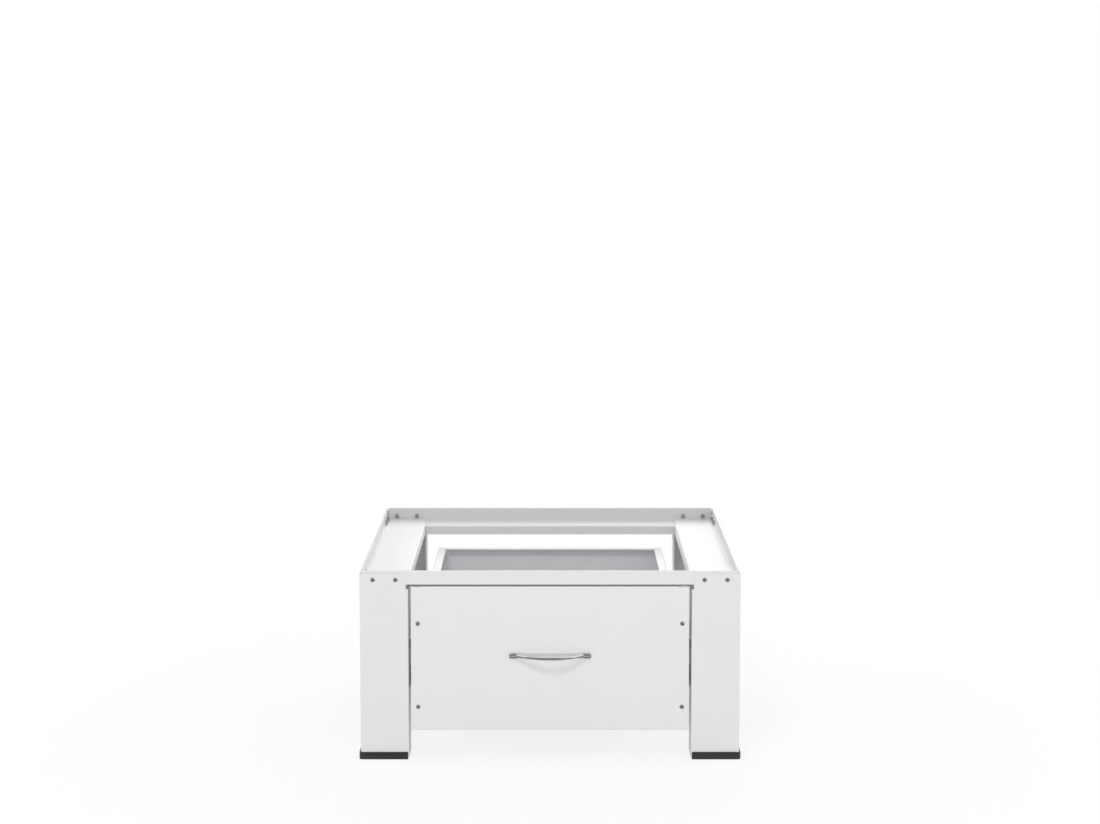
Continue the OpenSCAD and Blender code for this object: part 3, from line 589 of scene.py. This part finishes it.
def nut():
    """Rows of a hexagon nut, chamfered at 30 degrees on both sides."""
    cut = NUT_FLATS / 2 / COS_30 - NUT_FACE_R
    steps = [cut * i / NUT_STEPS for i in range(NUT_STEPS + 1)]
    chamfer = [(NUT_FACE_R + step, -step * TAN_30) for step in steps]
    below = [(radius, -NUT_H - height, 1, 0) for radius, height in chamfer]
    above = [(radius, height, 1, 0) for radius, height in reversed(chamfer)]
    mouth = NUT_BORE_R + NUT_BORE_CHAMFER
    bore = [(mouth, 0, 0, 0), (NUT_BORE_R, -NUT_BORE_CHAMFER, 0, 0),
            (NUT_BORE_R, NUT_BORE_CHAMFER - NUT_H, 0, 0), (mouth, -NUT_H, 0, 0)]
    return [bore[-1], *below, *above, *bore]


RIVET_R = 1.5 * MM
RIVET_HEAD_R = 3.15 * MM
RIVET_HEAD_H = 1.0 * MM
RIVET_RIM = 0.2 * MM
RIVET_STEPS = 6
# The upset tail: how many shank radii it is wide, and how far above its end.
RIVET_TAIL = ((0, 0), (1.1, 0), (1.4, 0.1 * MM), (1.5, 0.4 * MM), (1.5, 0.8 * MM), (1.4, RIVET_HEAD_H))


def rivet(stack):
    """Rows of a domed rivet through sheets that are this thick together."""
    back = -stack - RIVET_HEAD_H
    return [*[(width * RIVET_R, back - RIVET_HEAD_H + above, 0, 0) for width, above in RIVET_TAIL],
            (RIVET_R, back, 0, 0), (RIVET_R, -RIVET_HEAD_H, 0, 0),
            (RIVET_HEAD_R - EDGE_BREAK, -RIVET_HEAD_H, 0, 0),
            *dome(RIVET_HEAD_R, RIVET_HEAD_H, RIVET_RIM, 0, RIVET_STEPS)]


BODY_OF = {node: body for body, nodes in frame["record"]["behaviour"]["bodies"].items() for node in nodes}


def stand_for(piece, node):
    """A finished piece rides where its CAD node rides, and is shown for it."""
    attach(piece, BODY_OF[node])
    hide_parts(node)


SCREW_SEED = 7


def turn_parts(node, name, rows, flats, columns):
    """Sets a turned part of this outline at each of a node's places."""
    shape = outline(f"{name}_outline", rows)
    piece = grow(name, places_mesh(name, head_places(node)), turned_part, {
        "Outline": shape, "Columns": columns, "Hexagon Flats": flats, "Thread Pitch": THREAD_PITCH,
        "Thread Depth": THREAD_DEPTH, "Seed": SCREW_SEED + len(name), "Material": zinc_plate})
    bpy.data.objects.remove(shape)
    stand_for(piece, node)


SOCKET_FLATS = 2 * SOCKET_R * COS_30
SUNK_LENGTH = 7.0 * MM
RIVETED_SHEETS = 2 * MM
SCREW_SIDES = 36
NUT_SIDES = 48
RIVET_SIDES = 28
# How far each kind of button-head screw reaches below its head, in mm.
GRIPS = {"frame_bolts": 8.4, "rail_bolts": 7.9, "front_screws": 6.6, "runner_screws": 6.5,
         "handle_screws": 4.4}

for node, grip in GRIPS.items():
    turn_parts(node, f"{node}_m4_button_head", button_screw(grip * MM), SOCKET_FLATS, SCREW_SIDES)
turn_parts("slide_screws", "slide_screws_m4_countersunk", sunk_screw(SUNK_LENGTH), SOCKET_FLATS, SCREW_SIDES)
for node in ("frame_nuts", "rail_nuts", "slide_nuts", "front_nuts", "runner_nuts"):
    turn_parts(node, f"{node}_m4_hexagon", nut(), NUT_FLATS, NUT_SIDES)
turn_parts("drawer_rivets", "drawer_rivets_domed", rivet(RIVETED_SHEETS), NUT_FLATS, RIVET_SIDES)

# ---- Rails ---------------------------------------------------------------------------------------
# Two hat sections of 1.5 mm hot-dip galvanised strip, roll formed, bolted between the front and the
# rear legs. The zinc froze in spangles about 9 mm across, each a little lighter or darker.

GALVANISED_TONES = ("B0B3B5", "C8CACC")
GALVANISED_ROUGHNESS = (0.42, 0.6)
SPANGLE = 9 * MM
SPANGLE_BEND = 3 * MM
SPANGLE_BEND_SIZE = 6 * MM
FROST = 0.8 * MM
FROST_HEIGHT = 0.01 * MM

galvanised, tree, shader, place = new_material("hot_dip_galvanised_strip", 1.0, GALVANISED_ROUGHNESS[0])
wobble = add(tree, "ShaderNodeTexNoise", {"Vector": place, "Scale": 1 / SPANGLE_BEND_SIZE, "Detail": 2})
bend = add(tree, "ShaderNodeVectorMath", {0: wobble.outputs["Color"], "Scale": SPANGLE_BEND},
           operation="SCALE")
bent = add(tree, "ShaderNodeVectorMath", {0: place, 1: bend}, operation="ADD")
spangle = add(tree, "ShaderNodeTexVoronoi", {"Vector": bent, "Scale": 1 / SPANGLE})
shade = add(tree, "ShaderNodeSeparateColor", {0: spangle.outputs["Color"]}).outputs
vary(tree, shader, shade[0], GALVANISED_TONES, GALVANISED_ROUGHNESS, shade[1])
frost = add(tree, "ShaderNodeTexNoise", {"Vector": place, "Scale": 1 / FROST, "Detail": 3})
bump = add(tree, "ShaderNodeBump", {"Height": frost, "Distance": FROST_HEIGHT})
tree.links.new(bump.outputs[0], shader.inputs["Normal"])
dress(galvanised, "rail_left", "rail_right")

# ---- Telescopic slides ---------------------------------------------------------------------------
# Three members a side of cold-rolled strip, roll formed and bright zinc plated. The rolls leave
# fine lines along the length, which show as long streaks in the gloss.

SLIDE_TONES = ("AEB1B4", "C2C5C7")
SLIDE_ROUGHNESS = (0.2, 0.38)
# The real lines are finer. They are drawn as coarse as they need to show.
STREAK_WIDTH = 0.5 * MM
STREAK_LENGTH = 60 * MM
STREAK_HEIGHT = 0.006 * MM


def rolled_lines(tree, place, width, length):
    """A pattern of lines that the rolls leave along the length of a strip."""
    stretch = add(tree, "ShaderNodeMapping", {"Vector": place, "Scale": (1 / width, 1 / length, 1 / width)})
    return add(tree, "ShaderNodeTexNoise", {"Vector": stretch, "Scale": 1.0, "Detail": 2})


slide_zinc, tree, shader, place = new_material("bright_zinc_plated_strip", 1.0, SLIDE_ROUGHNESS[0])
streaks = rolled_lines(tree, place, STREAK_WIDTH, STREAK_LENGTH)
vary(tree, shader, streaks, SLIDE_TONES, SLIDE_ROUGHNESS)
bump = add(tree, "ShaderNodeBump", {"Height": streaks, "Distance": STREAK_HEIGHT})
tree.links.new(bump.outputs[0], shader.inputs["Normal"])
dress(slide_zinc, *[f"slide_{member}_{side}" for member in ("outer", "middle", "inner")
                    for side in ("left", "right")])

# ---- Ball cages and balls ------------------------------------------------------------------------
# Each row of balls runs in a thin channel of bright strip with a punched hole for every ball. The
# balls are hardened steel, ground and lapped to a mirror.

CAGE_TONES = ("B5B5B3", "CBCBC9")
CAGE_ROUGHNESS = (0.18, 0.3)
# The lines of this strip too are finer than they are drawn.
CAGE_LINE_WIDTH = 0.3 * MM
CAGE_LINE_LENGTH = 20 * MM

strip, tree, shader, place = new_material("bright_steel_strip", 1.0, CAGE_ROUGHNESS[0])
lines = rolled_lines(tree, place, CAGE_LINE_WIDTH, CAGE_LINE_LENGTH)
vary(tree, shader, lines, CAGE_TONES, CAGE_ROUGHNESS)
dress(strip, *[f"cage_{row}_{side}" for row in ("outer", "inner") for side in ("left", "right")])

BALL_TONES = ("C6C7C8", "D2D2D1")
BALL_ROUGHNESS = (0.05, 0.12)
BALL_FILM = 1.2 * MM
BALL_D = 3.5 * MM
BALL_DIVISIONS = 4
UPWARDS = Vector((0, 0, 1))

lapped, tree, shader, place = new_material("lapped_bearing_steel", 1.0, BALL_ROUGHNESS[0])
film = add(tree, "ShaderNodeTexNoise", {"Vector": place, "Scale": 1 / BALL_FILM, "Detail": 2})
vary(tree, shader, film, BALL_TONES, BALL_ROUGHNESS)

ball_row, given = new_tree("ball_row", {"Ball Diameter": "Float", "Divisions": "Int"})
tree = ball_row
half = add(tree, "ShaderNodeMath", {0: given["Ball Diameter"], 1: 0.5}, operation="MULTIPLY")
ball = add(tree, "GeometryNodeMeshIcoSphere", {"Radius": half, "Subdivisions": given["Divisions"]})
ball = add(tree, "GeometryNodeSetShadeSmooth", {"Geometry": ball, "Shade Smooth": True}, domain="FACE")
balls = add(tree, "GeometryNodeInstanceOnPoints", {"Points": given["Geometry"], "Instance": ball})
close_tree(tree, balls, given["Material"])

for row in ("outer", "inner"):
    for side in ("left", "right"):
        node = f"balls_{row}_{side}"
        centres = [(sum(span(solid), Vector()) / 2, UPWARDS) for solid in solids_of(node)]
        balls = grow(f"bearing_{node}", places_mesh(node, centres), ball_row,
                     {"Ball Diameter": BALL_D, "Divisions": BALL_DIVISIONS, "Material": lapped})
        stand_for(balls, node)

# ---- Drawer --------------------------------------------------------------------------------------
# The box is bent from 1 mm sheet and riveted; the front is a 1.2 mm pan screwed to the sides. All
# of it is coated in the same white powder as the frame, drawn a shade lighter.

DRAWER_TONES = ("E9E9EB", "E7E7E9")

drawer_coat = powder_coat("powder_coated_steel_drawer", DRAWER_TONES)
dress(drawer_coat, "drawer_front", "drawer_side_left", "drawer_side_right", "drawer_back", "drawer_bottom")

# ---- Handle --------------------------------------------------------------------------------------
# A slim bow that widens into two pads, cast in zinc alloy, polished and chromium plated to a mirror
# that is a little rippled. Two screws from inside the drawer hold it.

CHROME_TONES = ("D3D5D6", "DADBDB")
CHROME_ROUGHNESS = (0.06, 0.13)
CHROME_FILM = 14 * MM
RIPPLE = 7 * MM
RIPPLE_HEIGHT = 0.01 * MM

chrome, tree, shader, place = new_material("polished_chromium_plate", 1.0, CHROME_ROUGHNESS[0])
film = add(tree, "ShaderNodeTexNoise", {"Vector": place, "Scale": 1 / CHROME_FILM, "Detail": 4})
vary(tree, shader, film, CHROME_TONES, CHROME_ROUGHNESS)
ripple = add(tree, "ShaderNodeTexNoise", {"Vector": place, "Scale": 1 / RIPPLE, "Detail": 1})
bump = add(tree, "ShaderNodeBump", {"Height": ripple, "Distance": RIPPLE_HEIGHT})
tree.links.new(bump.outputs[0], shader.inputs["Normal"])

# The bow is an arc swept by a circle that thins towards its ends. Near the pads it grows taller.
BOW_HALF_CHORD = 54 * MM
BOW_OUT = 19.7 * MM
BOW_FOOT = 2.25 * MM
BOW_MIDDLE_D = 6.6 * MM
BOW_END_D = 5.0 * MM
BOW_RINGS = 97
BOW_SIDES = 40
FLARE = 1.66
FLARE_START = 42 * MM

handle_low, handle_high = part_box("handle")
handle_z = (handle_low.z + handle_high.z) / 2
panel_y = handle_high.y

bow_tree, given = new_tree("handle_bow", {
    "Start": "Vector", "Middle": "Vector", "End": "Vector", "Middle Diameter": "Float",
    "End Diameter": "Float", "Flare": "Float", "Flare Start": "Float", "Rings": "Int", "Sides": "Int"})
tree = bow_tree
arc = add(tree, "GeometryNodeCurveArc", {
    "Resolution": given["Rings"], "Start": given["Start"], "Middle": given["Middle"], "End": given["End"]},
    mode="POINTS")
along = add(tree, "ShaderNodeMapRange", {
    "Value": add(tree, "GeometryNodeSplineParameter"), "To Min": -1.0, "To Max": 1.0})
along = add(tree, "ShaderNodeMath", {0: along, 1: along}, operation="MULTIPLY")
width = add(tree, "ShaderNodeMapRange", {
    "Value": along, "To Min": given["Middle Diameter"], "To Max": given["End Diameter"]})
section = add(tree, "GeometryNodeCurvePrimitiveCircle", {"Resolution": given["Sides"], "Radius": 0.5})
bow = add(tree, "GeometryNodeCurveToMesh", {
    "Curve": arc, "Profile Curve": section, "Scale": width, "Fill Caps": True})
at = add(tree, "ShaderNodeSeparateXYZ", {0: add(tree, "GeometryNodeInputPosition")}).outputs
end = add(tree, "ShaderNodeSeparateXYZ", {0: given["End"]}).outputs
aside = add(tree, "ShaderNodeMath", {0: at["X"]}, operation="ABSOLUTE")
taller = add(tree, "ShaderNodeMapRange", {
    "Value": aside, "From Min": given["Flare Start"], "From Max": end["X"],
    "To Min": 1.0, "To Max": given["Flare"]}, interpolation_type="SMOOTHSTEP")
height = add(tree, "ShaderNodeMath", {0: at["Z"], 1: end["Z"]}, operation="SUBTRACT")
height = add(tree, "ShaderNodeMath", {0: height, 1: taller, 2: end["Z"]}, operation="MULTIPLY_ADD")
flared = add(tree, "ShaderNodeCombineXYZ", {"X": at["X"], "Y": at["Y"], "Z": height})
bow = add(tree, "GeometryNodeSetPosition", {"Geometry": bow, "Position": flared})
bow = add(tree, "GeometryNodeSetShadeSmooth", {"Geometry": bow, "Shade Smooth": True}, domain="FACE")
close_tree(tree, bow, given["Material"])

bow = grow("handle_bow", bpy.data.meshes.new("handle_bow"), bow_tree, {
    "Start": (-BOW_HALF_CHORD, panel_y - BOW_FOOT, handle_z), "Middle": (0, panel_y - BOW_OUT, handle_z),
    "End": (BOW_HALF_CHORD, panel_y - BOW_FOOT, handle_z), "Middle Diameter": BOW_MIDDLE_D,
    "End Diameter": BOW_END_D, "Flare": FLARE, "Flare Start": FLARE_START, "Rings": BOW_RINGS,
    "Sides": BOW_SIDES, "Material": chrome})

PAD_PITCH = 120.4 * MM
PAD_LENGTH = 15.6 * MM
PAD_HEIGHT = 8.7 * MM
PAD_DEPTH = 4.5 * MM
PAD_CROWN = 2.5 * PAD_HEIGHT
PAD_EDGE = 0.9 * MM
PAD_SIDES = 64
PAD_STEPS = 6


def pad(centre):
    """A pad with round ends, a rolled edge and a crowned face, as rings from its foot inwards."""
    radius, half = PAD_HEIGHT / 2, (PAD_LENGTH - PAD_HEIGHT) / 2
    rolled = [math.pi / 2 * i / PAD_STEPS for i in range(PAD_STEPS + 1)]
    rings = [(0, None)]
    rings += [(PAD_EDGE * (1 - math.cos(a)), PAD_EDGE * (1 - math.sin(a))) for a in rolled]
    rings += [(PAD_EDGE + (radius - PAD_EDGE) * i / PAD_STEPS, 0) for i in range(1, PAD_STEPS + 1)]
    mesh = bmesh.new()
    loops = []
    for inset, short in rings:
        loop = []
        for i in range(PAD_SIDES):
            turn = math.tau * (i + 0.5) / PAD_SIDES
            x = math.copysign(half, math.cos(turn)) + (radius - inset) * math.cos(turn)
            z = (radius - inset) * math.sin(turn)
            face = PAD_DEPTH - PAD_CROWN + math.sqrt(PAD_CROWN ** 2 - z ** 2)
            depth = 0 if short is None else face - short
            loop.append(mesh.verts.new((centre + x, panel_y - depth, handle_z + z)))
        loops.append(loop)
    for lower, upper in zip(loops, loops[1:]):
        for i in range(PAD_SIDES):
            mesh.faces.new((lower[i - 1], lower[i], upper[i], upper[i - 1]))
    mesh.faces.new(reversed(loops[0]))
    bmesh.ops.remove_doubles(mesh, verts=mesh.verts, dist=MERGE)
    bmesh.ops.recalc_face_normals(mesh, faces=mesh.faces)
    return mesh


handle_mesh = bmesh.new()
handle_mesh.from_mesh(bow.data)
for side in (-1, 1):
    part = pad(side * PAD_PITCH / 2)
    part_mesh = bpy.data.meshes.new("pad")
    part.to_mesh(part_mesh)
    part.free()
    handle_mesh.from_mesh(part_mesh)
    bpy.data.meshes.remove(part_mesh)
handle_mesh.to_mesh(bow.data)
handle_mesh.free()
bow.data.materials.clear()
bow.data.materials.append(chrome)
bow.data.shade_smooth()
bow.name = "chromed_bow_handle"
stand_for(bow, "handle")
